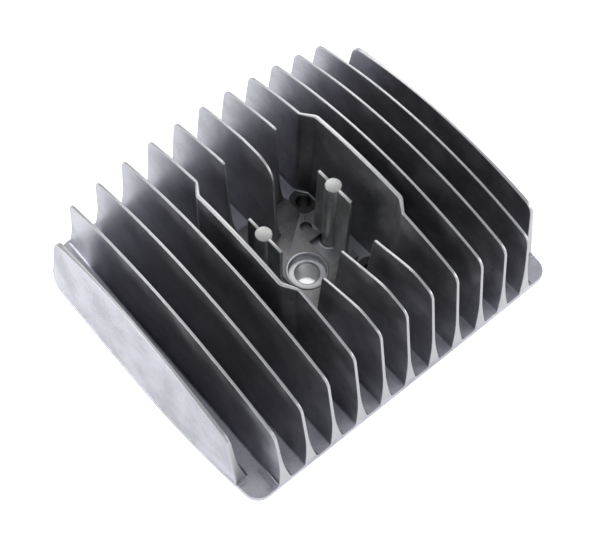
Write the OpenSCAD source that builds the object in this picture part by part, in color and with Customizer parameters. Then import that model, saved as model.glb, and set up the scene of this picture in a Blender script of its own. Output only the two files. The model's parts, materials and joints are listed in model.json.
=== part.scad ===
// Air-cooled cylinder head of a two-stroke engine, in millimetres, +Z up.
// The origin is the middle of the gasket face; the fins run along Y.

/* [Plate] */
// Width of the fin plate, across the fins
plate_w = 220; // [218:1:224]
// Width of the fin plate at its front edge, before its corners are rounded
plate_front_w = 207; // [205:1:214]
// Length of the fin plate, along the fins
plate_l = 185; // [183:1:190]
// Thickness of the fin plate
plate_t = 4; // [3:0.5:6]
// Radius of the fin plate's front corners
plate_corner_r = 9; // [6:0.5:12]
// Radius of the fin plate's rear corners
plate_rear_corner_r = 24; // [20:1:26]
// Height of the fin plate's underside over the gasket face
plate_z = 24; // [22:0.5:26]

/* [Fins] */
// Distance from one fin to the next
fin_pitch = 17; // [16.6:0.1:17.2]
// Thickness of a fin above its flared root
fin_t = 1.5; // [1.2:0.1:2]
// Thickness of a fin where it meets the plate
fin_root_t = 8.2; // [6:0.1:9]
// Height of the flare at a fin's root
fin_flare_h = 25; // [18:1:28]
// Height of the middle fin over the gasket face
crown_z = 99.5; // [98:0.5:104]
// Radius of the crown that the fin tops follow, across the fins
crown_across_r = 245; // [230:5:270]
// Radius of each fin's top edge
crown_along_r = 285; // [260:5:310]
// Distance from the middle to a fin's foot at the front
fin_foot_y = 92.3; // [90:0.1:92.5]
// Distance from the middle to a fin's foot at the rear
fin_rear_foot_y = 91; // [89:0.1:92.3]
// Distance from the middle to the foot of the two outermost fins
side_fin_foot_y = 78; // [74:0.2:82]
// Lean of a fin's front end, in degrees
fin_front_lean = 10.5; // [8:0.5:12]
// Lean of a fin's rear end, in degrees
fin_rear_lean = 8.5; // [6:0.5:12]
// Radius of a fin's upper corners
fin_corner_r = 8; // [4:1:10]

/* [Pocket] */
// Distance from the middle to a pocket wall where it bulges round the nuts
bulge_x = 39; // [38:0.2:40]
// Thickness of a pocket wall where it bulges
bulge_t = 2.4; // [2:0.1:2.6]
// Distance from the middle to where the bulge starts to bend back
bulge_half_l = 31.5; // [30:0.5:33]
// Distance from the middle to where the bulge ends
bulge_end_y = 41; // [39:0.5:43]
// Distance from the middle to the split fins beside the middle one
side_gap_y = 35.5; // [34:0.5:37]
// Distance from the middle to the rear half of the middle fin
middle_gap_rear_y = 17.5; // [17:0.5:20]
// Distance from the middle to the front half of the middle fin
middle_gap_front_y = 29.8; // [28:0.2:32]
// Radius of the rear middle fin's shoulder
shoulder_r = 13; // [10:1:15]
// Drop from the crown to the top of that shoulder
shoulder_drop = 3.3; // [2.5:0.1:5]
// Draft of the split fins' inner ends, in degrees
gap_draft = 3; // [2:0.5:4]
// Height of the front split fins where they meet the pocket
dip_z = 84.8; // [82:0.2:87]
// Rise of the front split fins away from the pocket, in degrees
dip_rise = 13; // [10:1:15]

/* [Core] */
// Diameter of the boss that carries the gasket face
chamber_boss_d = 104; // [102:1:110]
// Outer diameter of the squish band
squish_d = 64; // [60:1:68]
// Depth of the squish band at the edge of the bowl
squish_depth = 1.2; // [0.8:0.1:1.6]
// Diameter of the combustion bowl
bowl_d = 42; // [38:1:44]
// Depth of the combustion bowl
bowl_depth = 11; // [10.5:0.5:12]
// Distance between neighbouring stud holes
stud_spacing = 58; // [56:0.5:60]
// Diameter of a stud boss and of its nut seat
stud_boss_d = 17; // [16:0.2:17.4]
// Distance from the middle to the deck's edge beside a nut, across the fins
nut_edge_x = 21.2; // [20:0.1:21.4]
// Distance from the middle to the deck's edge beside a nut, along the fins
nut_edge_y = 19.3; // [18:0.1:21]
// Diameter of a stud hole
stud_hole_d = 8.6; // [8.4:0.1:9]
// Height of the deck over the fin plate
deck_h = 3.5; // [3:0.5:4.5]
// Diameter of the blind hole in the deck
blind_hole_d = 7; // [6:0.5:8]
// Depth of the blind hole
blind_hole_depth = 3; // [2:0.25:3.25]

/* [Plug] */
// Distance of the spark plug hole in front of the middle
plug_y = 8.5; // [7.5:0.5:10]
// Wall diameter of the plug hole, the minor diameter of M14 x 1.25
plug_hole_d = 12.65; // [12.5:0.05:13]
// Diameter of the plug boss
plug_boss_d = 24; // [23.5:0.5:25]
// Height of the plug boss over the deck
plug_boss_rise = 0.8; // [0.5:0.1:1.5]
// Diameter of the plug's gasket seat
plug_seat_d = 21; // [20.5:0.1:21.5]
// Height of the plug's gasket seat over the gasket face
plug_seat_z = 28.7; // [28.4:0.1:29]

/* [Posts] */
// Diameter of a round post
post_d = 9.2; // [8:0.1:10]
// Distance from the middle to a post
post_x = 23.3; // [22.8:0.1:24]
// Height of the posts over the gasket face
post_z = 83.5; // [80:0.5:88]
// Thickness of a post's webs
web_t = 1.9; // [1.6:0.1:2.2]
// Reach of the web in front of a post
web_front_l = 14.4; // [13:0.2:15]
// Reach of the web behind a post
web_rear_l = 12.2; // [11:0.2:13]

/* [Hidden] */
$fn = 96;

outer_fin = 6;
wall_fin = 2;
plate_top_z = plate_z + plate_t;
deck_z = plate_top_z + deck_h;
stud_y = stud_spacing / 2;
flare_top_z = plate_top_z + fin_flare_h;
root_spread = (fin_root_t - fin_t) / 2;
flare_r = (fin_flare_h * fin_flare_h + root_spread * root_spread) / (2 * root_spread);
bowl_rise = bowl_depth - squish_depth;
bowl_r = (bowl_d * bowl_d / 4 + bowl_rise * bowl_rise) / (2 * bowl_rise);
spine_half_w = 12.6;
hole_pad_y = 5;
nut_space_w = 20;
nut_corner_r = 4;
blind_hole_x = 17.4;
blind_hole_y = 13.2;
cut = 1;
room = 300;
flare_steps = 8;
wall_steps = 40;
plate_steps = 18;

cast_grey = [0.74, 0.74, 0.77];
machined_grey = [0.82, 0.83, 0.84];

// Height of the crown over the fin at x
function crown_at(x) = crown_z - crown_across_r + sqrt(crown_across_r * crown_across_r - x * x);

// Outline points of a fin's rounded upper corner and half of its top edge, from the foot inwards
function corner_points(top_z, foot_y, lean) =
    let (
        along = [-sin(lean), cos(lean)],
        inward = [-cos(lean), -sin(lean)],
        start = [foot_y, plate_top_z] + fin_corner_r * inward - [0, top_z - crown_along_r],
        slide = start * along,
        reach = crown_along_r - fin_corner_r,
        travel = sqrt(slide * slide - start * start + reach * reach) - slide,
        spot = start + travel * along,
        centre = spot + [0, top_z - crown_along_r],
        meet = atan2(spot[1], spot[0])
    )
    concat(
        [for (i = [0 : 8]) let (a = lean + (meet - lean) * i / 8)
            centre + fin_corner_r * [cos(a), sin(a)]],
        [for (i = [1 : 12]) let (a = meet + (90 - meet) * i / 12)
            [0, top_z - crown_along_r] + crown_along_r * [cos(a), sin(a)]]
    );

// A whole fin seen from the side: Y to the right, Z up
module fin_outline(top_z, front_y, rear_y) {
    front = corner_points(top_z, front_y, fin_front_lean);
    rear = corner_points(top_z, rear_y, fin_rear_lean);
    last = len(rear) - 1;
    polygon(concat(
        [[rear_y, plate_top_z]],
        rear,
        [for (i = [1 : last]) [-front[last - i][0], front[last - i][1]]],
        [[-front_y, plate_top_z]]
    ));
}

// A side outline made into a slab across X
module slab(x, w) {
    translate([x - w / 2, 0, 0]) rotate([90, 0, 90]) linear_extrude(w) children();
}

// A fin seen from its end: a thin blade on a hollow flare
module fin_section(t) {
    translate([-t / 2, plate_top_z]) square([t, room]);
    difference() {
        translate([-t / 2 - root_spread, plate_top_z])
            square([t + 2 * root_spread, fin_flare_h]);
        for (side = [-1, 1])
            translate([side * (t / 2 + flare_r), flare_top_z]) circle(flare_r, $fn = 180);
    }
}

module fin_blade(x, t) {
    translate([x, plate_l, 0]) rotate([90, 0, 0]) linear_extrude(2 * plate_l) fin_section(t);
}

// A whole fin, place pitches from the middle one
module plain_fin(place) {
    x = place * fin_pitch;
    color(cast_grey) intersection() {
        fin_blade(x, fin_t);
        slab(x, fin_pitch) fin_outline(crown_at(x), fin_foot_y, fin_rear_foot_y);
    }
}

// The fin plate from above: its sides curve in towards the front, its rear corners are rounder
module plate_outline() {
    half_w = plate_w / 2;
    half_l = plate_l / 2;
    taper = half_w - plate_front_w / 2;
    side = [for (i = [0 : plate_steps]) let (y = half_l / 2 - 1.5 * half_l * i / plate_steps)
        [half_w - taper * pow(min(y, 0) / half_l, 2), y]];
    intersection() {
        offset(plate_corner_r) offset(delta = -plate_corner_r) polygon(concat(
            side,
            [for (i = [plate_steps : -1 : 0]) [-side[i][0], side[i][1]]]
        ));
        translate([-half_w, -half_l]) square([plate_w, half_l + cut]);
    }
    translate([-half_w, 0]) square([plate_w, half_l - plate_rear_corner_r]);
    translate([plate_rear_corner_r - half_w, 0]) square([plate_w - 2 * plate_rear_corner_r, half_l]);
    for (x = [-1, 1])
        translate([x * (half_w - plate_rear_corner_r), half_l - plate_rear_corner_r])
            circle(plate_rear_corner_r);
}

// The outermost fin stands flush with the plate's edge, so its outer face leans out to it
module side_fin(side) {
    x = side * outer_fin * fin_pitch;
    edge = side * plate_w / 2;
    color(cast_grey) intersection() {
        union() {
            fin_blade(x, fin_t);
            translate([0, plate_l, 0]) rotate([90, 0, 0]) linear_extrude(2 * plate_l)
                polygon([
                    [x, plate_top_z], [edge, plate_top_z],
                    [x + side * fin_t / 2, crown_at(x) - 8], [x, crown_at(x) - 8]
                ]);
        }
        slab(x, 2 * fin_pitch) fin_outline(crown_at(x), side_fin_foot_y, side_fin_foot_y);
        linear_extrude(crown_z) plate_outline();
    }
}

// The space behind a drafted end plane; sign is +1 at the rear and -1 at the front
module beyond(gap_y, sign) {
    lean = tan(gap_draft);
    polygon([
        [sign * gap_y, plate_z], [sign * gap_y, deck_z],
        [sign * (gap_y + lean * (room - deck_z)), room],
        [sign * room, room], [sign * room, plate_z]
    ]);
}

// Everything under the sloping dip of the front split fins
module under_dip(gap_y) {
    polygon([
        [0, dip_z - gap_y * tan(dip_rise)], [0, 0], [-room, 0],
        [-room, dip_z + (room - gap_y) * tan(dip_rise)]
    ]);
}

module split_fin(place, gap_y, sign) {
    x = place * fin_pitch;
    color(cast_grey) difference() {
        intersection() {
            fin_blade(x, fin_t);
            slab(x, fin_pitch) intersection() {
                fin_outline(crown_at(x), fin_foot_y, fin_rear_foot_y);
                beyond(gap_y, sign);
                if (sign < 0) under_dip(gap_y);
            }
        }
        if (gap_y < side_gap_y)
            translate([-fin_pitch, -side_gap_y, 0]) cube([2 * fin_pitch, 2 * side_gap_y, deck_z]);
    }
}

// The rear half of the middle fin comes furthest in and has a big round shoulder
module middle_rear_fin() {
    lean = gap_draft;
    top_z = crown_z - shoulder_drop;
    centre_z = top_z - shoulder_r;
    centre_y = middle_gap_rear_y + (centre_z - deck_z) * tan(lean) + shoulder_r / cos(lean);
    color(cast_grey) difference() {
        split_fin(0, middle_gap_rear_y, 1);
        slab(0, fin_pitch) {
            polygon(concat(
                [for (i = [0 : 12]) let (a = 180 - lean - (90 - lean) * i / 12)
                    [centre_y + shoulder_r * cos(a), centre_z + shoulder_r * sin(a)]],
                [[centre_y, room], [0, room], [0, centre_z + shoulder_r * sin(lean)]]
            ));
            translate([0, top_z]) square([room, room]);
        }
    }
}

// Sideways place of a pocket wall at y: straight, then an S-bend out to the bulge
function wall_x(y) =
    let (
        straight = wall_fin * fin_pitch,
        share = min(1, max(0, (bulge_end_y - abs(y)) / (bulge_end_y - bulge_half_l)))
    )
    straight + (bulge_x - straight) * (1 - cos(180 * share)) / 2;

function wall_t(y) =
    let (share = min(1, max(0, (bulge_end_y - abs(y)) / (bulge_end_y - bulge_half_l))))
    fin_t + (bulge_t - fin_t) * share;

// One cross-section of a pocket wall, up one side and down the other
function wall_ring(side, y) =
    let (
        x = side * wall_x(y),
        half = wall_t(y) / 2,
        flank = [for (i = [0 : flare_steps]) let (z = fin_flare_h * i / flare_steps)
            [half + flare_r - sqrt(flare_r * flare_r - pow(fin_flare_h - z, 2)), plate_top_z + z]]
    )
    concat(
        [for (p = flank) [x + p[0], y, p[1]]],
        [[x + half, y, room / 2], [x - half, y, room / 2]],
        [for (i = [flare_steps : -1 : 0]) [x - flank[i][0], y, flank[i][1]]]
    );

module pocket_wall(side) {
    stations = [for (i = [0 : wall_steps]) fin_foot_y + 2 - (2 * fin_foot_y + 4) * i / wall_steps];
    rings = [for (y = stations) wall_ring(side, y)];
    n = len(rings[0]);
    last = len(rings) - 1;
    x = side * (wall_fin * fin_pitch + 2);
    color(cast_grey) intersection() {
        polyhedron(
            points = [for (ring = rings) each ring],
            faces = concat(
                [[for (i = [0 : n - 1]) i]],
                [for (k = [0 : last - 1]) for (i = [0 : n - 1])
                    [k * n + i, (k + 1) * n + i, (k + 1) * n + (i + 1) % n, k * n + (i + 1) % n]],
                [[for (i = [n - 1 : -1 : 0]) last * n + i]]
            )
        );
        slab(x, 2 * fin_pitch)
            fin_outline(crown_at(wall_fin * fin_pitch), fin_foot_y, fin_rear_foot_y);
    }
}

// A pocket wall with its foot spot-faced for the stud nuts
module faced_wall(side) {
    color(cast_grey) difference() {
        pocket_wall(side);
        at_studs() translate([0, 0, plate_z]) cylinder(d = stud_boss_d, h = crown_z);
    }
}

module at_studs() {
    for (x = [-stud_y, stud_y]) for (y = [-stud_y, stud_y]) translate([x, y, 0]) children();
}

module plug_bore_space(d) {
    translate([0, -plug_y, -cut]) cylinder(d = d, h = crown_z);
}

module combustion_space() {
    translate([0, 0, -cut]) cylinder(d = squish_d, h = cut);
    cylinder(d1 = squish_d, d2 = bowl_d, h = squish_depth);
    translate([0, 0, bowl_depth - bowl_r]) intersection() {
        sphere(bowl_r, $fn = 128);
        translate([0, 0, bowl_r - bowl_depth]) cylinder(d = bowl_d + cut, h = 2 * bowl_depth);
    }
}

module base_plate() {
    color(cast_grey) difference() {
        translate([0, 0, plate_z]) linear_extrude(plate_t) plate_outline();
        plug_bore_space(plug_boss_d);
        at_studs() cylinder(d = stud_boss_d, h = crown_z);
    }
}

// The raised deck round the plug: a spine with four arms between the nut seats and the posts
module deck() {
    arm_x = 28;
    color(cast_grey) difference() {
        translate([0, 0, plate_top_z]) linear_extrude(deck_h) difference() {
            square([2 * arm_x, 2 * side_gap_y], center = true);
            for (side = [-1, 1]) {
                translate([side * (spine_half_w + arm_x) / 2, (hole_pad_y - web_front_l) / 2])
                    square([arm_x - spine_half_w, web_front_l + hole_pad_y], center = true);
                translate([side * (post_x - web_t / 2 + arm_x) / 2, (web_rear_l - web_front_l) / 2])
                    square([arm_x - post_x + web_t / 2, web_rear_l + web_front_l], center = true);
            }
            for (x = [-1, 1]) for (y = [-1, 1])
                translate([x * (nut_edge_x + nut_space_w / 2), y * (nut_edge_y + nut_space_w / 2)])
                    offset(nut_corner_r) square(nut_space_w - 2 * nut_corner_r, center = true);
        }
        plug_bore_space(plug_boss_d);
        translate([blind_hole_x, blind_hole_y, deck_z - blind_hole_depth])
            cylinder(d = blind_hole_d, h = deck_h);
        translate([post_x, 0, 0]) cylinder(d = post_d, h = crown_z);
        translate([-post_x, 0, 0]) cylinder(d = post_d, h = crown_z);
    }
}

module chamber_boss() {
    color(machined_grey) difference() {
        cylinder(d = chamber_boss_d, h = plate_z, $fn = 128);
        at_studs() translate([0, 0, -cut]) cylinder(d = stud_boss_d, h = crown_z);
        plug_bore_space(plug_boss_d);
        combustion_space();
    }
}

module plug_boss() {
    color(machined_grey) difference() {
        translate([0, -plug_y, 0]) cylinder(d = plug_boss_d, h = deck_z + plug_boss_rise);
        plug_bore_space(plug_hole_d);
        translate([0, -plug_y, plug_seat_z]) cylinder(d = plug_seat_d, h = crown_z);
        combustion_space();
    }
}

module stud_boss(side_x, side_y) {
    color(machined_grey) translate([side_x * stud_y, side_y * stud_y, 0]) difference() {
        cylinder(d = stud_boss_d, h = plate_top_z);
        translate([0, 0, -cut]) cylinder(d = stud_hole_d, h = crown_z);
    }
}

module post(side) {
    color(cast_grey) translate([side * post_x, 0, plate_top_z])
        cylinder(d = post_d, h = post_z - plate_top_z);
}

// One of the two thin webs that brace a post
module post_web(side, sign) {
    reach = sign > 0 ? web_rear_l : web_front_l;
    color(cast_grey) difference() {
        translate([side * post_x - web_t / 2, min(0, sign * reach), plate_top_z])
            cube([web_t, reach, post_z - plate_top_z]);
        translate([side * post_x, 0, 0]) cylinder(d = post_d, h = crown_z);
    }
}

base_plate();
deck();
chamber_boss();
plug_boss();
stud_boss(-1, -1);  // stud_boss_front_left
stud_boss(1, -1);  // stud_boss_front_right
stud_boss(-1, 1);  // stud_boss_rear_left
stud_boss(1, 1);  // stud_boss_rear_right
side_fin(-1);  // fin_left_1
plain_fin(-5);  // fin_left_2
plain_fin(-4);  // fin_left_3
plain_fin(-3);  // fin_left_4
faced_wall(-1);  // pocket_wall_left
split_fin(-1, side_gap_y, -1);  // split_fin_left_front
split_fin(-1, side_gap_y, 1);  // split_fin_left_rear
split_fin(0, middle_gap_front_y, -1);  // split_fin_middle_front
middle_rear_fin();  // split_fin_middle_rear
split_fin(1, side_gap_y, -1);  // split_fin_right_front
split_fin(1, side_gap_y, 1);  // split_fin_right_rear
faced_wall(1);  // pocket_wall_right
plain_fin(3);  // fin_right_4
plain_fin(4);  // fin_right_3
plain_fin(5);  // fin_right_2
side_fin(1);  // fin_right_1
post(-1);  // post_left
post_web(-1, -1);  // web_left_front
post_web(-1, 1);  // web_left_rear
post(1);  // post_right
post_web(1, -1);  // web_right_front
post_web(1, 1);  // web_right_rear
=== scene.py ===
# %% [markdown]
# # An air-cooled cylinder head in Blender
# The real head is one aluminium casting: a thin plate with thirteen tall cooling fins,
# a pocket in the middle for the spark plug and the stud nuts, and a machined boss below.
# The CAD model gives every size and place. This file gives each region its cast and
# machined surface. All lengths are in metres, and +Z points out of the cylinder.

# %% Load the frame
import json
import math

import bmesh
import bpy
import numpy as np
from mathutils import Matrix, Vector


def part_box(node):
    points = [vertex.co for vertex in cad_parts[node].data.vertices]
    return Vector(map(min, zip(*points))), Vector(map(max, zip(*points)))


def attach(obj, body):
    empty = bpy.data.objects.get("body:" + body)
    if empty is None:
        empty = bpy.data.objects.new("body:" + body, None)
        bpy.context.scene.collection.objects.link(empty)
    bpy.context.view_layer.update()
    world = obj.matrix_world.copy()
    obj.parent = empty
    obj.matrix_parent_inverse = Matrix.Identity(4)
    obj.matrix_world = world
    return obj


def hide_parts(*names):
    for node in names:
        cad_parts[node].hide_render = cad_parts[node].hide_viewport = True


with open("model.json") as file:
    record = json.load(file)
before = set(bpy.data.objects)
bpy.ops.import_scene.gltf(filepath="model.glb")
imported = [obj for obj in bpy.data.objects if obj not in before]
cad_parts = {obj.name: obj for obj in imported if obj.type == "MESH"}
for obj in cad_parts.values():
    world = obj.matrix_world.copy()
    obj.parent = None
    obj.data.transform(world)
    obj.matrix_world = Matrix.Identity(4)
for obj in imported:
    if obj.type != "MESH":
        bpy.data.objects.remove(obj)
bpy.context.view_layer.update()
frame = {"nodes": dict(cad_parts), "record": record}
MM = 0.001

# %% [markdown]
# ## Heights and places from the CAD
# The plate's top is the floor that all fins stand on, and the deck is the raised platform
# in the pocket. Both come from the CAD boxes, so a change there moves everything here.
# Feet reach a little way into what they stand on, so that no gap shows.

# %% Main levels
plate_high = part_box("base_plate")[1]
floor_z = plate_high.z
deck_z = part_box("deck")[1].z
plug_y = -8.5 * MM
foot_sink = 0.3 * MM
print(f"plate top {floor_z / MM:.1f} mm, deck top {deck_z / MM:.1f} mm")

# %% [markdown]
# ## Two helpers: finish a mesh as a piece, and round a polygon's corners
# Each finished mesh becomes an object at the origin that rides on the CAD's one body and
# stands for a CAD node. Welding doubles and recalculating normals comes first, so the
# shell is closed and faces outwards.
# A fin seen from the side is a polygon with rounded corners, so the second helper swaps
# each corner for an arc that touches both of its sides.

# %% Finish a piece
def finish_piece(bm, name, nodes, material, weld=0.00001):
    bmesh.ops.remove_doubles(bm, verts=bm.verts, dist=weld)
    bmesh.ops.recalc_face_normals(bm, faces=bm.faces)
    for face in bm.faces:
        face.smooth = True
    mesh = bpy.data.meshes.new(name)
    bm.to_mesh(mesh)
    bm.free()
    piece = bpy.data.objects.new(name, mesh)
    bpy.context.scene.collection.objects.link(piece)
    mesh.materials.append(material)
    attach(piece, "root")
    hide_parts(*nodes)
    return piece


# %% Round a polygon's corners
def rounded(corners):
    """corners are (y, z, radius, steps); a radius of 0 keeps the corner."""
    points = []
    for k, (y, z, radius, steps) in enumerate(corners):
        here = Vector((y, z))
        if radius == 0 or k in (0, len(corners) - 1):
            points.append(here)
            continue
        before = (Vector(corners[k - 1][:2]) - here).normalized()
        after = (Vector(corners[k + 1][:2]) - here).normalized()
        half = before.angle(after) / 2
        start = here + before * radius / math.tan(half)
        end = here + after * radius / math.tan(half)
        centre = here + (before + after).normalized() * radius / math.sin(half)
        sweep = (start - centre).angle_signed(end - centre)
        for i in range(steps + 1):
            arm = (start - centre).copy()
            arm.rotate(Matrix.Rotation(-sweep * i / steps, 2))
            points.append(centre + arm)
    return points


bend = [(0, 0, 0, 0), (1, 0, 0.1, 4), (1, 1, 0, 0)]
print("points on a polygon with one rounded corner:", len(rounded(bend)))

# %% [markdown]
# ## The cast and machined finishes
# Cast aluminium is grey with a faint lavender tint. Its skin has a fine grain, soft cloudy
# blotches and a few darker specks. The edges of the fins are painted a lighter grey, partly as
# rubbed wear and partly as a painted highlight.
# A flat colour would look like plastic, and an image would stretch over the fins, so
# all of it is procedural and reads Object coordinates, which never slide.
# The finishes share one node group that puts out a tone, a stain mask and a height.

# %% The shared skin group
def skin_group():
    group = bpy.data.node_groups.new("metal_skin", "ShaderNodeTree")
    face = group.interface
    face.new_socket("Vector", in_out="INPUT", socket_type="NodeSocketVector")
    for name, value in (("Grain", 900.0), ("Blotch", 55.0), ("Specks", 260.0)):
        face.new_socket(name, in_out="INPUT", socket_type="NodeSocketFloat").default_value = value
    for name in ("Tone", "Stain", "Height"):
        face.new_socket(name, in_out="OUTPUT", socket_type="NodeSocketFloat")
    nodes, links = group.nodes, group.links
    start, end = nodes.new("NodeGroupInput"), nodes.new("NodeGroupOutput")

    def noise(scale, detail, rough):
        node = nodes.new("ShaderNodeTexNoise")
        node.inputs["Detail"].default_value = detail
        node.inputs["Roughness"].default_value = rough
        links.new(start.outputs["Vector"], node.inputs["Vector"])
        links.new(start.outputs[scale], node.inputs["Scale"])
        return node.outputs["Fac"]

    def spread(value, low, high, to_low, to_high):
        node = nodes.new("ShaderNodeMapRange")
        node.interpolation_type = "SMOOTHSTEP"
        for socket, number in zip(node.inputs[1:5], (low, high, to_low, to_high)):
            socket.default_value = number
        links.new(value, node.inputs["Value"])
        return node.outputs["Result"]

    def combine(kind, one, two):
        node = nodes.new("ShaderNodeMath")
        node.operation = kind
        for socket, value in zip(node.inputs, (one, two)):
            if isinstance(value, float):
                socket.default_value = value
            else:
                links.new(value, socket)
        return node.outputs[0]

    grain = noise("Grain", 3.0, 0.6)
    blotch = noise("Blotch", 4.0, 0.62)
    specks = noise("Specks", 2.0, 0.5)
    tone = combine("ADD", spread(blotch, 0.32, 0.7, -0.5, 0.5), spread(grain, 0.3, 0.7, -0.22, 0.22))
    links.new(combine("ADD", tone, spread(specks, 0.66, 0.78, 0.0, -0.9)), end.inputs["Tone"])
    links.new(spread(blotch, 0.45, 0.75, 0.0, 1.0), end.inputs["Stain"])
    height = combine("ADD", grain, combine("MULTIPLY", specks, 0.8))
    links.new(height, end.inputs["Height"])
    return group


metal_skin = skin_group()
print("skin group nodes:", len(metal_skin.nodes))


# %% A metal from the shared group
def metal(name, dark, light, roughness, bump, grain, blotch, second_tone=None, rings=None):
    """A metal whose colour runs from dark to light with the skin's tone.

    roughness is (clean, stained), bump is (strength, distance), second_tone is the colour laid
    where the mesh's second_tone_mask attribute is set, and rings is (centre x, centre y, scale)
    of the marks that a cutter left.
    """
    material = bpy.data.materials.new(name)
    material.use_nodes = True
    nodes, links = material.node_tree.nodes, material.node_tree.links
    shader = nodes["Principled BSDF"]
    shader.inputs["Metallic"].default_value = 1.0
    place = nodes.new("ShaderNodeTexCoord")
    skin = nodes.new("ShaderNodeGroup")
    skin.node_tree = metal_skin
    skin.inputs["Grain"].default_value = grain
    skin.inputs["Blotch"].default_value = blotch
    links.new(place.outputs["Object"], skin.inputs["Vector"])
    ramp = nodes.new("ShaderNodeMix")
    ramp.data_type = "RGBA"
    ramp.inputs["A"].default_value = (*dark, 1)
    ramp.inputs["B"].default_value = (*light, 1)
    share = nodes.new("ShaderNodeMath")
    share.operation = "ADD"
    share.inputs[1].default_value = 0.5
    links.new(skin.outputs["Tone"], share.inputs[0])
    links.new(share.outputs[0], ramp.inputs["Factor"])
    colour = ramp.outputs["Result"]
    # The second tone: on the fins a lighter edge, partly rubbed wear and partly a painted highlight;
    # in the plug bore bright machined metal; on posts and webs a darker top.
    if second_tone is not None:
        edge = nodes.new("ShaderNodeAttribute")
        edge.attribute_name = "second_tone_mask"
        second_tone_mix = nodes.new("ShaderNodeMix")
        second_tone_mix.data_type = "RGBA"
        second_tone_mix.inputs["B"].default_value = (*second_tone, 1)
        links.new(edge.outputs["Fac"], second_tone_mix.inputs["Factor"])
        links.new(colour, second_tone_mix.inputs["A"])
        colour = second_tone_mix.outputs["Result"]
    links.new(colour, shader.inputs["Base Color"])
    rough = nodes.new("ShaderNodeMapRange")
    rough.inputs["To Min"].default_value = roughness[0]
    rough.inputs["To Max"].default_value = roughness[1]
    links.new(skin.outputs["Stain"], rough.inputs["Value"])
    links.new(rough.outputs["Result"], shader.inputs["Roughness"])
    height = skin.outputs["Height"]
    if rings is not None:
        centre = nodes.new("ShaderNodeMapping")
        centre.inputs["Location"].default_value = (-rings[0], -rings[1], 0)
        links.new(place.outputs["Object"], centre.inputs["Vector"])
        wave = nodes.new("ShaderNodeTexWave")
        wave.wave_type = "RINGS"
        wave.rings_direction = "Z"
        wave.inputs["Scale"].default_value = rings[2]
        wave.inputs["Distortion"].default_value = 0.4
        links.new(centre.outputs["Vector"], wave.inputs["Vector"])
        sum_up = nodes.new("ShaderNodeMath")
        links.new(height, sum_up.inputs[0])
        links.new(wave.outputs["Fac"], sum_up.inputs[1])
        height = sum_up.outputs[0]
    relief = nodes.new("ShaderNodeBump")
    relief.inputs["Strength"].default_value = bump[0]
    relief.inputs["Distance"].default_value = bump[1]
    links.new(height, relief.inputs["Height"])
    links.new(relief.outputs["Normal"], shader.inputs["Normal"])
    return material


# %% [markdown]
# ## Six finishes
# The same skin serves six finishes. The fins and the plate are plain cast metal, and the
# fins' edges are painted lighter, partly as rubbed wear and partly as a painted highlight. The
# deck is a warm grey painted darker as shade in the pocket, the posts are a shade greener with
# darker tops, the gasket face and the plug seat are cut by a tool that leaves rings, and the
# stud bosses with their nut seats are painted near black as shade in their recesses.

# %% Cast finishes
cast_bump = (0.35, 0.00012)
# The second tone of the cast skin paints the fins' edges lighter: partly rubbed wear, partly a
# painted highlight.
cast_skin = metal("cast_aluminium", (0.29, 0.29, 0.32), (0.43, 0.43, 0.465), (0.40, 0.52),
                  cast_bump, 1100.0, 48.0, second_tone=(0.37, 0.37, 0.375))
# The deck has its own warm grey, painted darker than the cast skin as shade in the pocket.
deck_painted_shade = metal("warm_deck_painted_shade", (0.16, 0.155, 0.155), (0.25, 0.243, 0.24), (0.42, 0.55),
                  cast_bump, 1100.0, 70.0)
# On the posts and webs the second tone is darker, so their tops are darker than their sides.
post_skin = metal("cast_post", (0.38, 0.40, 0.385), (0.52, 0.54, 0.52), (0.38, 0.5),
                  cast_bump, 1100.0, 60.0, second_tone=(0.26, 0.26, 0.255))
# The stud bosses and their nut seats are painted near black, as shade in their recesses.
shaded_seat_skin = metal("shaded_nut_seat", (0.06, 0.06, 0.058), (0.10, 0.10, 0.095), (0.45, 0.6),
                  (0.35, 0.0001), 1100.0, 60.0)
print("cast finishes:", cast_skin.name, deck_painted_shade.name, post_skin.name, shaded_seat_skin.name)

# %% Machined finishes
ring_scale = 600.0
turned_skin = metal("machined_aluminium", (0.62, 0.62, 0.64), (0.74, 0.74, 0.75), (0.22, 0.3),
                    (0.15, 0.00005), 1500.0, 60.0, rings=(0.0, 0.0, ring_scale))
plug_skin = metal("machined_plug_seat", (0.38, 0.38, 0.40), (0.50, 0.50, 0.51), (0.34, 0.42),
                  (0.12, 0.00005), 1500.0, 60.0, second_tone=(0.80, 0.80, 0.80),
                  rings=(0.0, plug_y, ring_scale))
print("machined finishes:", turned_skin.name, plug_skin.name)

# %% [markdown]
# ## How a fin is shaped
# A cast fin is a thin blade: about 1.5 mm at its top, a little thicker further down, and
# flared into the plate so that heat flows in and the casting leaves its mould.
# It could be a box with bevels, but the flare and the arched top would need many cuts.
# Here a flat grid is laid into the fin's side outline, extruded once to get its second
# face, and each vertex is moved sideways by half the thickness that belongs there.
# Near the outline the thickness shrinks along a small arc, which rounds the edges.

# %% Fin sizes
blade_top_t = 1.5 * MM
blade_low_t = 1.9 * MM
root_t = 7.8 * MM
flare_h = 25 * MM
foot_fillet = 0.8 * MM
edge_r = 0.5 * MM
# Within this reach of the outline and above this height, a fin's edges are painted lighter: partly
# rubbed wear, partly a painted highlight.
wear_and_highlight_reach = 1.2 * MM
wear_and_highlight_from_z = floor_z + 2 * MM
front_lean, rear_lean = math.radians(10.5), math.radians(8.5)
crown_along_r = 0.285
flare_spread = (root_t - blade_low_t) / 2
flare_r = (flare_h ** 2 + flare_spread ** 2) / (2 * flare_spread)
print(f"flare radius {flare_r / MM:.0f} mm")


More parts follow.
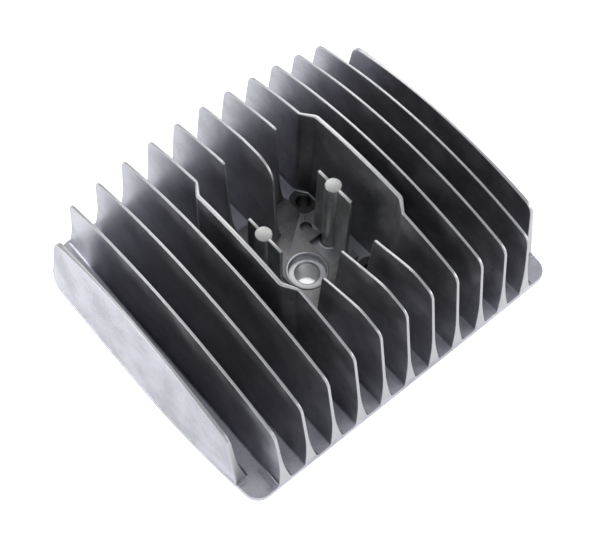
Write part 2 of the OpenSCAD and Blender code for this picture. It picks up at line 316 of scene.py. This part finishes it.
# %% Half the thickness of a fin at a height
def flank(z, base, top, y):
    """base is the height of the fin's foot, top that of its crown; a plain flank ignores y."""
    above = max(z - floor_z, 0)
    if above < flare_h:
        half = blade_low_t / 2 + flare_r - math.sqrt(flare_r ** 2 - (flare_h - above) ** 2)
    else:
        share = (above - flare_h) / (top - floor_z - flare_h)
        half = (blade_low_t + (blade_top_t - blade_low_t) * min(share, 1)) / 2
    rise = max(z - base, 0)
    if rise < foot_fillet:
        half += foot_fillet - math.sqrt(foot_fillet ** 2 - (foot_fillet - rise) ** 2)
    return half


waist = floor_z + flare_h
print("fin above its flare, mm:", round(2 * flank(waist, floor_z, 2 * waist, 0) / MM, 2))


# %% Distance from points to an outline
def distance_to(line, spots):
    """The least distance from each spot to a chain of straight stretches."""
    a, b = np.array(line[:-1]), np.array(line[1:])
    along = b - a
    reach = np.einsum("ij,ij->i", along, along)
    gap = spots[:, None, :] - a[None]
    share = np.clip(np.einsum("nij,ij->ni", gap, along) / reach, 0, 1)
    return np.linalg.norm(gap - share[..., None] * along[None], axis=2).min(axis=1)


print("distance check:", distance_to([(0, 0), (2, 0)], np.array([[1.0, 0.5]]))[0])


# %% Lay a grid into a fin's outline
heights = (0, 0.04, 0.12, 0.3, 0.5, 0.8, 3, 6, 9, 12, 15, 18, 21, 25)
low_steps = [-foot_sink] + [h * MM for h in heights]
high_steps = [d * MM for d in (4, 1.5, 0.5, 0.33, 0.17, 0.06, 0)]
middle_rows = 5
row_count = len(low_steps) + middle_rows + len(high_steps)


def fin_feet(foot, tops, step_y):
    """One foot under each top point; within step_y of the middle it stands on the deck."""
    first, last = tops[0].x, tops[-1].x
    feet = []
    for p in tops:
        y = foot[0] + (foot[1] - foot[0]) * (p.x - first) / (last - first)
        on_deck = step_y is not None and abs(y) < step_y
        feet.append(Vector((y, deck_z if on_deck else floor_z)))
    return feet


def fin_grid(feet, tops):
    """Rows are close together near the foot and the top, where the surface curves."""
    spots = np.zeros((len(tops), row_count, 2))
    for i, (p, q) in enumerate(zip(feet, tops)):
        way = q - p
        low = [p + way * (h / way.y) for h in low_steps]
        high = [q - way.normalized() * d for d in high_steps]
        gaps = middle_rows + 1
        between = [low[-1].lerp(high[0], (k + 1) / gaps) for k in range(middle_rows)]
        for j, spot in enumerate(low + between + high):
            spots[i, j] = spot
    return spots


print("rows from foot to top:", row_count)


# %% Build one blade
def edge_round(half, d):
    """Half the thickness at a distance d inside the outline, where the edge is round."""
    return half - edge_r + math.sqrt(edge_r ** 2 - (edge_r - d) ** 2) if d < edge_r else half


def blade(name, node, centre_x, foot, top_line, left=None, right=None, wander=None, step_y=None):
    """foot is (front y, rear y); top_line runs from the front edge's top to the rear edge's.

    left and right stand in for the flank of one face, wander bends the blade along its
    length, and step_y is how far from the middle it steps down from the deck.
    """
    top = max(p.y for p in top_line)
    tops = list(top_line)
    feet = fin_feet(foot, tops, step_y)
    spots = fin_grid(feet, tops)
    outline = [tuple(p) for p in [feet[0]] + tops + [feet[-1]]]
    near = distance_to(outline, spots.reshape(-1, 2)).reshape(spots.shape[:2])

    bm = bmesh.new()
    second_tone = bm.verts.layers.float.new("second_tone_mask")
    bmesh.ops.create_grid(bm, x_segments=len(tops) - 1, y_segments=row_count - 1, size=1.0)
    sheet = list(bm.verts)
    copied = bmesh.ops.extrude_face_region(bm, geom=list(bm.faces), use_keep_orig=True)
    other = [v for v in copied["geom"] if isinstance(v, bmesh.types.BMVert)]
    for side, verts, shape in ((-1, sheet, left or flank), (1, other, right or flank)):
        for v in verts:
            i = round((v.co.x + 1) / 2 * (len(tops) - 1))
            j = round((v.co.y + 1) / 2 * (row_count - 1))
            y, z = spots[i, j]
            half = edge_round(shape(z, feet[i].y, top, y), near[i, j])
            if wander is None:
                v.co = (centre_x + side * half, y, z)
            else:
                offset, slope, thicker = wander(y)
                turn = math.hypot(1, slope)
                rise = min(max(z - floor_z, 0) / flare_h, 1)
                half *= 1 + (thicker - 1) * rise
                v.co = (offset + side * half / turn, y - side * half * slope / turn, z)
            # Edges and ends near the outline get the lighter second tone: partly rubbed wear, partly
            # a painted highlight.
            v[second_tone] = max(0.0, 1 - near[i, j] / wear_and_highlight_reach) if z > wear_and_highlight_from_z else 0.0
    return finish_piece(bm, name, [node], cast_skin, weld=1e-7)


# %% [markdown]
# ## The outline of a whole fin
# From the side, a whole fin is an arch of large radius between two ends that lean in by
# about ten degrees, with rounded upper corners. The crown's height differs from fin to
# fin, so it is read from each CAD node's box.

# %% Outline of a fin between two edges
def arch_z(top, y):
    return top - crown_along_r + math.sqrt(crown_along_r ** 2 - y * y)


def fin_end(top, foot_y, lean):
    """Where a leaning end meets the arch, for a foot at +y."""
    y = foot_y
    for _ in range(30):
        y = foot_y - (arch_z(top, y) - floor_z) * math.tan(lean)
    return y, arch_z(top, y)


corner_r, corner_steps = 8 * MM, 14
corner_room = 9 * MM
arch_step = 4.5 * MM


def whole_outline(top, front_y, rear_y):
    start_y, start_z = fin_end(top, front_y, front_lean)
    end_y, end_z = fin_end(top, rear_y, rear_lean)
    count = round((start_y + end_y) / arch_step)
    inner = np.linspace(corner_room - start_y, end_y - corner_room, count + 1)
    corners = [(-front_y, floor_z, 0, 0), (-start_y, start_z, corner_r, corner_steps)]
    corners += [(y, arch_z(top, y), 0, 0) for y in inner]
    corners += [(end_y, end_z, corner_r, corner_steps), (rear_y, floor_z, 0, 0)]
    return rounded(corners)[1:-1]


print("leans, degrees:", round(math.degrees(front_lean), 1), round(math.degrees(rear_lean), 1))


# %% Six plain fins
fin_foot, rear_foot = 92.25 * MM, 91 * MM
plain_fins = ["fin_left_2", "fin_left_3", "fin_left_4", "fin_right_4", "fin_right_3", "fin_right_2"]
for node in plain_fins:
    low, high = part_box(node)
    x = (low.x + high.x) / 2
    line = whole_outline(high.z, fin_foot, rear_foot)
    blade("cast_" + node, node, x, (-fin_foot, rear_foot), line)
print("plain fins:", len(plain_fins))

# %% [markdown]
# ## The two outermost fins
# The fin at each side is shorter, and its outer face runs straight down to the plate's
# edge, so it has no flare there. Only the sideways shape of that one face differs, and it
# follows the plate, whose sides curve in towards the front and whose rear corners are round.

# %% Outermost fins
side_foot = 78 * MM
side_x = 102 * MM
side_inset = 0.35 * MM
plate_taper = 6.5 * MM
rear_corner_r = 24 * MM


def plate_edge(y):
    """Distance from the middle to the plate's side edge, which curves in towards the front."""
    straight = plate_high.x - plate_taper * (min(y, 0) / plate_high.y) ** 2
    past = max(y - plate_high.y + rear_corner_r, 0)
    return straight - rear_corner_r + math.sqrt(rear_corner_r ** 2 - past ** 2)


def plain_side(z, base, top, y):
    share = min(max((z - floor_z) / (top - floor_z), 0), 1)
    reach = plate_edge(y) - side_inset - side_x
    return reach + (blade_top_t / 2 - reach) * share


for node, side in (("fin_left_1", -1), ("fin_right_1", 1)):
    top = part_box(node)[1].z
    shapes = {"left": plain_side} if side < 0 else {"right": plain_side}
    blade("cast_" + node, node, side * side_x, (-side_foot, side_foot),
          whole_outline(top, side_foot, side_foot), **shapes)
print("outer fins stand at x =", round(side_x / MM, 1), "mm")

# %% [markdown]
# ## The pocket walls
# The fins on both sides of the pocket are whole, but they bend outwards round the stud
# nuts and are thicker there. The same blade follows a path that steps sideways, and its
# thickness is laid off square to that path.

# %% Pocket walls
wall_x, bulge_x = 34 * MM, 39 * MM
bend_end, bend_start = 41 * MM, 31.5 * MM
bend_soft = 0.22
bend_thicker = 0.5


def wall_path(side):
    """Where the wall runs: its x, its slope and how much thicker it is, at each y."""
    soft = bend_soft

    def wander(y):
        s = min(max((bend_end - abs(y)) / (bend_end - bend_start), 0), 1)
        if s < soft:
            ease, rate = s * s / (2 * soft), s / soft
        elif s > 1 - soft:
            ease, rate = 1 - soft - (1 - s) ** 2 / (2 * soft), (1 - s) / soft
        else:
            ease, rate = s - soft / 2, 1.0
        ease, rate = ease / (1 - soft), rate / (1 - soft)
        slope = -math.copysign(1, y) * rate * (bulge_x - wall_x) / (bend_end - bend_start)
        offset = wall_x + (bulge_x - wall_x) * ease
        return side * offset, side * slope, 1 + bend_thicker * ease

    return wander


def denser(line, low, high, step):
    """More points on the stretches of a top line where the wall bends."""
    out = [line[0]]
    for a, b in zip(line, line[1:]):
        middle = abs(a.x + b.x) / 2
        cuts = max(1, math.ceil(abs(b.x - a.x) / step)) if low < middle < high else 1
        out += [a.lerp(b, k / cuts) for k in range(1, cuts + 1)]
    return out


fine_from, fine_to, fine_step = 27 * MM, 46 * MM, 0.6 * MM
for node, side in (("pocket_wall_left", -1), ("pocket_wall_right", 1)):
    line = whole_outline(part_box(node)[1].z, fin_foot, rear_foot)
    line = denser(line, fine_from, fine_to, fine_step)
    blade("cast_" + node, node, 0, (-fin_foot, rear_foot), line, wander=wall_path(side))
print("columns in a pocket wall:", len(line))

# %% [markdown]
# ## The split fins
# Three fins are cut by the pocket. Behind it, two have a sharp inner corner and the
# middle one comes further in with a big round shoulder. In front of it, the tops dip
# towards the plug so that a spanner can swing. Each is a blade with its own outline.

# %% Sizes of the split fins
gap_lean = math.radians(3)
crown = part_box("pocket_wall_left")[1].z
middle_top, side_top = crown + 2.4 * MM, crown + 1.8 * MM
side_gap = 35.5 * MM
rear_gap, front_gap = 17.5 * MM, 29.8 * MM
pitch = 17 * MM
gap_corner_r = 1.4 * MM
shoulder_r, shoulder_drop = 13 * MM, 3.3 * MM
dip_z, dip_rise = 84.8 * MM, math.tan(math.radians(13))
dip_front_r, dip_gap_r = 7 * MM, 1.6 * MM
dip_blend = 1.4 * MM
print(f"tops at {side_top / MM:.1f} and {middle_top / MM:.1f} mm, dip at {dip_z / MM:.1f} mm")


# %% Outlines of the rear halves
def inner_corner(foot_y, base, height):
    """The inner edge of a split fin leans back a little as it rises."""
    return foot_y + (height - base) * math.tan(gap_lean)


def rear_end(top, start, count):
    """The arch from start to the fin's rear edge, and that edge."""
    end_y, end_z = fin_end(top, rear_foot, rear_lean)
    stops = np.linspace(start, end_y - corner_room, count)
    corners = [(s, arch_z(top, s), 0, 0) for s in stops]
    return corners + [(end_y, end_z, corner_r, corner_steps), (rear_foot, floor_z, 0, 0)]


def rear_outline(top, foot_y):
    y = foot_y
    for _ in range(20):
        y = inner_corner(foot_y, floor_z, arch_z(top, y))
    corners = [(foot_y, floor_z, 0, 0), (y, arch_z(top, y), gap_corner_r, 10)]
    return rounded(corners + rear_end(top, y + 6 * MM, 10))[1:-1]


def shoulder_outline(top, foot_y):
    flat = top - shoulder_drop
    y = inner_corner(foot_y, deck_z, flat)
    meet = math.sqrt(crown_along_r ** 2 - (flat - top + crown_along_r) ** 2)
    corners = [(foot_y, deck_z, 0, 0), (y, flat, shoulder_r, 16)]
    corners += [(meet - 5 * MM, flat - 0.15 * MM, 0, 0)]
    return rounded(corners + rear_end(top, meet + 2 * MM, 9))[1:-1]


print("shoulder radius, mm:", round(shoulder_r / MM, 1))


# %% Outline of the front halves
def dip_outline(top, foot_y, base):
    """The front half, drawn from its leaning front end back to the pocket."""
    y = inner_corner(foot_y, base, dip_z)
    end_y = fin_end(top, fin_foot, front_lean)[0]

    def low_top(s):
        line = dip_z + (s - y) * dip_rise
        arch = arch_z(top, s)
        return min(line, arch) - dip_blend * math.exp(-abs(line - arch) / dip_blend) * 0.5

    stops = np.linspace(end_y - 8 * MM, y + 6 * MM, 12)
    corners = [(-fin_foot, floor_z, 0, 0), (-end_y, low_top(end_y), dip_front_r, corner_steps)]
    corners += [(-s, low_top(s), 0, 0) for s in stops]
    corners += [(-y, low_top(y), dip_gap_r, 9), (-foot_y, base, 0, 0)]
    return rounded(corners)[1:-1]


print("dip rises", round(math.degrees(math.atan(dip_rise))), "degrees to the front")

# %% Split fins
for label, x in (("left", -pitch), ("right", pitch)):
    node = f"split_fin_{label}_rear"
    blade("cast_" + node, node, x, (side_gap, rear_foot), rear_outline(side_top, side_gap))
    node = f"split_fin_{label}_front"
    line = dip_outline(side_top, side_gap, floor_z)
    blade("cast_" + node, node, x, (-fin_foot, -side_gap), line)
blade("cast_split_fin_middle_rear", "split_fin_middle_rear", 0, (rear_gap, rear_foot),
      shoulder_outline(middle_top, rear_gap), step_y=side_gap)
blade("cast_split_fin_middle_front", "split_fin_middle_front", 0, (-fin_foot, -front_gap),
      dip_outline(middle_top, front_gap, deck_z), step_y=side_gap)
print("split fins done")

# %% [markdown]
# ## Plate, deck and gasket boss
# These are flat castings with round holes, and the CAD already has their exact shape.
# Modelling them again would only risk a misfit, so each is a welded copy of its CAD mesh
# whose outer edges get a small round, as a casting or a deburred cut has.

# %% Copy a CAD node and round chosen edges
def sharpen(piece, angle):
    """Smooth shading, but flat across edges sharper than this angle."""
    piece.data.set_sharp_from_angle(angle=math.radians(angle))


def from_cad(node, material, picks, radius, extra=None):
    """picks says of the middle of a sharp edge whether that edge is rounded."""
    bm = bmesh.new()
    bm.from_mesh(frame["nodes"][node].data)
    bmesh.ops.remove_doubles(bm, verts=bm.verts, dist=2e-6)
    bmesh.ops.dissolve_limit(bm, angle_limit=math.radians(0.5), verts=bm.verts, edges=bm.edges)
    sharp = [e for e in bm.edges if e.is_manifold and e.calc_face_angle(0) > math.radians(50)]
    chosen = [e for e in sharp if picks((e.verts[0].co + e.verts[1].co) / 2)]
    bmesh.ops.bevel(bm, geom=chosen, offset=radius, segments=3, profile=0.5,
                    affect="EDGES", material=-1, clamp_overlap=True)
    if extra is not None:
        extra(bm)
    piece = finish_piece(bm, "cast_" + node, [node], material)
    sharpen(piece, 35)
    print(node, "edges rounded:", len(chosen))


# %% Plate, deck and gasket boss
ledge_h, ledge_round = 0.9 * MM, 0.2 * MM
outer_ledge = ((100.4 * MM, -79.9 * MM), (104.6 * MM, -77.4 * MM))
inner_ledge = ((90.9 * MM, -91.4 * MM), (92.1 * MM, -79.4 * MM))


def front_ledges(bm):
    """Low witness ledges that the mould left at the feet of the outer fins, on both sides."""
    for low, high in (outer_ledge, inner_ledge):
        for side in (-1, 1):
            made = bmesh.ops.create_cube(bm, size=1)["verts"]
            for v in made:
                x = high[0] if v.co.x > 0 else low[0]
                y = high[1] if v.co.y > 0 else low[1]
                v.co = (side * x, y, floor_z + (ledge_h if v.co.z > 0 else -foot_sink))
            raised = [v for v in made if v.co.z > floor_z]
            edges = list({e for v in raised for e in v.link_edges})
            bmesh.ops.bevel(bm, geom=edges, offset=ledge_round, segments=2, profile=0.5,
                            affect="EDGES", material=-1)


def plate_rim(p):
    return math.hypot(p.x, p.y) > 60 * MM


def deck_rim(p):
    return p.z > deck_z - 0.1 * MM and math.hypot(p.x, p.y - plug_y) > 12.3 * MM


def gasket_rim(p):
    return math.hypot(p.x, p.y) > 51 * MM and p.z < 1 * MM


from_cad("base_plate", cast_skin, plate_rim, 0.45 * MM, extra=front_ledges)
from_cad("deck", deck_painted_shade, deck_rim, 0.6 * MM)
from_cad("chamber_boss", turned_skin, gasket_rim, 0.6 * MM)

# %% [markdown]
# ## The plug boss
# The spark plug screws into a round boss. A cutter leaves a flat seat for the plug's
# gasket inside a thin raised rim, and the M14 x 1.25 thread runs down to the chamber.
# A half section of all that is spun round the plug's axis. The thread's lead is too
# small to see, so its turns are plain rings.

# %% Spin a half section
def spin(section, centre, steps=96):
    """section is a list of (radius, z); the last point joins the first."""
    bm = bmesh.new()
    ring = [bm.verts.new((centre[0] + r, centre[1], z)) for r, z in section]
    edges = [bm.edges.new((a, b)) for a, b in zip(ring, ring[1:] + ring[:1])]
    bmesh.ops.spin(bm, geom=ring + edges, cent=(centre[0], centre[1], 0), axis=(0, 0, 1),
                   angle=math.tau, steps=steps, use_merge=True, use_duplicate=False)
    return bm


# %% Sizes of the plug boss
boss_low, boss_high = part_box("plug_boss")
plug_centre = ((boss_low.x + boss_high.x) / 2, (boss_low.y + boss_high.y) / 2)
boss_r = (boss_high.x - boss_low.x) / 2
rim_z = boss_high.z
mount = {m["name"]: m for m in frame["record"]["mounts"]}["plug_hole"]
bore_r = mount["dims"]["r_mm"] * MM
seat_z, seat_r = 28.7 * MM, 10.5 * MM
rim_round, rim_cut, seat_cut = 0.6 * MM, 0.25 * MM, 0.3 * MM
thread_pitch, thread_depth = 1.25 * MM, 0.6 * MM
thread_top, thread_end = seat_z - 1.5 * MM, 12.2 * MM
skirt_z = 4 * MM
bowl_r, bowl_depth = 27.4 * MM, 11 * MM


def bowl_z(x, y):
    """Height of the chamber's domed roof."""
    return bowl_depth - bowl_r + math.sqrt(bowl_r ** 2 - x * x - y * y)


print(f"plug bore {2 * bore_r / MM:.1f} mm across, seat at {seat_z / MM:.1f} mm")

# %% Plug boss with its seat and thread
shave = 0.3 * rim_round
section = [(boss_r, skirt_z), (boss_r, rim_z - rim_round), (boss_r - shave, rim_z - shave)]
section += [(boss_r - rim_round, rim_z), (seat_r + rim_cut, rim_z), (seat_r, rim_z - rim_cut)]
section += [(seat_r, seat_z + seat_cut), (seat_r - seat_cut, seat_z), (bore_r + 1.0 * MM, seat_z)]
section += [(bore_r + 0.1 * MM, seat_z - 0.9 * MM), (bore_r, seat_z - 1.1 * MM)]
z = thread_top
while z > thread_end:
    groove = bore_r + thread_depth
    section += [(bore_r, z), (groove, z - 0.45 * thread_pitch), (groove, z - 0.58 * thread_pitch)]
    z -= thread_pitch
section += [(bore_r, z), (bore_r, skirt_z)]
bm = spin(section, plug_centre)
second_tone = bm.verts.layers.float.new("second_tone_mask")
for v in bm.verts:
    if v.co.z < skirt_z + 0.5 * MM:
        v.co.z = bowl_z(v.co.x, v.co.y)
    from_axis = math.hypot(v.co.x - plug_centre[0], v.co.y - plug_centre[1])
    v[second_tone] = 1.0 if from_axis < bore_r + 0.8 * MM else 0.0
piece = finish_piece(bm, "threaded_plug_boss", ["plug_boss"], plug_skin)
sharpen(piece, 40)
print("thread turns:", round((thread_top - z) / thread_pitch))

# %% [markdown]
# ## Stud bosses, posts and webs
# Four tubes carry the cylinder studs. Each has a spot-faced seat for its nut and small
# chamfers on its hole. The two round posts stand beside the plug, each braced by two
# thin webs. Tubes and posts are spun, and a web is a cube whose edges are bevelled.

# %% Stud bosses
stud_hole_r, stud_cut = 4.3 * MM, 0.5 * MM
for where in ("front_left", "front_right", "rear_left", "rear_right"):
    low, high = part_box("stud_boss_" + where)
    centre = ((low.x + high.x) / 2, (low.y + high.y) / 2)
    outer, wide = (high.x - low.x) / 2, stud_hole_r + stud_cut
    section = [(outer, low.z), (outer, high.z), (wide, high.z), (stud_hole_r, high.z - stud_cut),
               (stud_hole_r, low.z + stud_cut), (wide, low.z)]
    # The whole tube is painted near black, as shade in its recess.
    piece = finish_piece(spin(section, centre), "bored_stud_boss_" + where, ["stud_boss_" + where],
                         shaded_seat_skin)
    sharpen(piece, 40)
print("stud bosses: 4")

# %% Posts
post_foot_r, post_round, post_dark_top = 1.2 * MM, 0.5 * MM, 0.3 * MM
post_eye = 0.02 * MM


def quarter(steps):
    """Angles from nothing to a right angle."""
    return [math.pi / 2 * k / steps for k in range(steps + 1)]


def mark_dark_top(bm, height):
    """Marks what lies above a height for the second tone, which on posts and webs is darker."""
    second_tone = bm.verts.layers.float.new("second_tone_mask")
    for v in bm.verts:
        v[second_tone] = 1.0 if v.co.z > height else 0.0


for label in ("left", "right"):
    low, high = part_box("post_" + label)
    centre = ((low.x + high.x) / 2, (low.y + high.y) / 2)
    r, top = (high.x - low.x) / 2, high.z
    section = [(0, low.z)]
    for a in reversed(quarter(5)):
        section.append((r + post_foot_r * (1 - math.cos(a)), low.z + post_foot_r * (1 - math.sin(a))))
    for a in quarter(4):
        section.append((r - post_round * (1 - math.cos(a)), top - post_round * (1 - math.sin(a))))
    section.append((post_eye, top))
    bm = spin(section, centre, 64)
    # The top of the post is marked for the darker second tone.
    mark_dark_top(bm, top - post_dark_top)
    piece = finish_piece(bm, "cast_post_" + label, ["post_" + label], post_skin)
    sharpen(piece, 50)
print("posts: 2")

# %% Webs
web_inner_y, web_foot = 3.9 * MM, 1.3
web_lean, web_drop, web_round, web_dark_top = 0.4 * MM, 0.03 * MM, 0.35 * MM, 0.2 * MM
for label in ("left", "right"):
    for end, sign in (("front", -1), ("rear", 1)):
        node = f"web_{label}_{end}"
        low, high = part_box(node)
        x, half = (low.x + high.x) / 2, (high.x - low.x) / 2
        far = low.y if sign < 0 else high.y
        bm = bmesh.new()
        bmesh.ops.create_cube(bm, size=1)
        for v in bm.verts:
            up, outer = v.co.z > 0, v.co.y * sign > 0
            wide = half if up else half * web_foot
            lean = sign * web_lean if up and outer else 0
            y = far - lean if outer else sign * web_inner_y
            z = high.z - web_drop if up else low.z - foot_sink
            v.co = (x + math.copysign(wide, v.co.x), y, z)
        bmesh.ops.bevel(bm, geom=list(bm.edges), offset=web_round, segments=3, profile=0.5,
                        affect="EDGES", material=-1)
        mark_dark_top(bm, high.z - web_dark_top)
        piece = finish_piece(bm, "cast_" + node, [node], post_skin)
        sharpen(piece, 50)
print("webs: 4")

# %% [markdown]
# ## Floor, light and camera
# The floor is a plain pale sheet that glows softly, so it stays pale under the part and
# lights its lower faces. It could be lit like the rest, but then it would turn grey.
# Four large panels give even studio light, and the camera looks down at about
# sixty degrees.

# %% Floor
bm = bmesh.new()
bmesh.ops.create_grid(bm, x_segments=1, y_segments=1, size=6.0)
floor_mesh = bpy.data.meshes.new("studio_floor")
bm.to_mesh(floor_mesh)
bm.free()
floor = bpy.data.objects.new("studio_floor", floor_mesh)
bpy.context.scene.collection.objects.link(floor)
paper = bpy.data.materials.new("pale_paper")
paper.use_nodes = True
paper_skin = paper.node_tree.nodes["Principled BSDF"]
paper_skin.inputs["Base Color"].default_value = (0.9, 0.9, 0.9, 1)
paper_skin.inputs["Roughness"].default_value = 0.9
paper_skin.inputs["Emission Color"].default_value = (0.97, 0.98, 1.0, 1)
paper_skin.inputs["Emission Strength"].default_value = 0.6
floor_mesh.materials.append(paper)
print("floor glow:", round(paper_skin.inputs["Emission Strength"].default_value, 2))

# %% Lights
world = bpy.data.worlds.new("studio")
bpy.context.scene.world = world
world.use_nodes = True
sky = world.node_tree.nodes["Background"]
sky.inputs["Color"].default_value = (0.95, 0.96, 1.0, 1)
sky.inputs["Strength"].default_value = 0.75
aim = Vector((0, 0, 0.04))


def panel(name, place, size, power):
    """A rectangular soft light that faces the part."""
    light = bpy.data.lights.new(name, "AREA")
    light.shape = "RECTANGLE"
    light.size, light.size_y = size
    light.energy = power
    lamp = bpy.data.objects.new(name, light)
    bpy.context.scene.collection.objects.link(lamp)
    lamp.location = place
    lamp.rotation_mode = "QUATERNION"
    lamp.rotation_quaternion = (aim - Vector(place)).to_track_quat("-Z", "Y")


panel("key_front_left", (-0.9, -1.0, 0.8), (0.9, 0.6), 5)
panel("rear_left", (-1.1, 0.55, 0.45), (0.7, 0.5), 9)
panel("back_fill", (0.7, 0.9, 1.1), (0.9, 0.9), 9)
panel("front_right", (0.9, -1.0, 0.6), (0.8, 0.5), 8)

# %% Camera
camera_data = bpy.data.cameras.new("camera")
camera_data.sensor_width = 36
camera_data.lens = 68.59
camera_data.clip_start, camera_data.clip_end = 0.01, 20
camera = bpy.data.objects.new("camera", camera_data)
bpy.context.scene.collection.objects.link(camera)
camera.location = (-0.2096, -0.2353, 0.5748)
camera.rotation_euler = [math.radians(a) for a in (29.255, -1.083, -40.098)]
bpy.context.scene.camera = camera
bpy.context.scene.view_settings.view_transform = "Standard"
print("lens, mm:", round(camera_data.lens, 2))
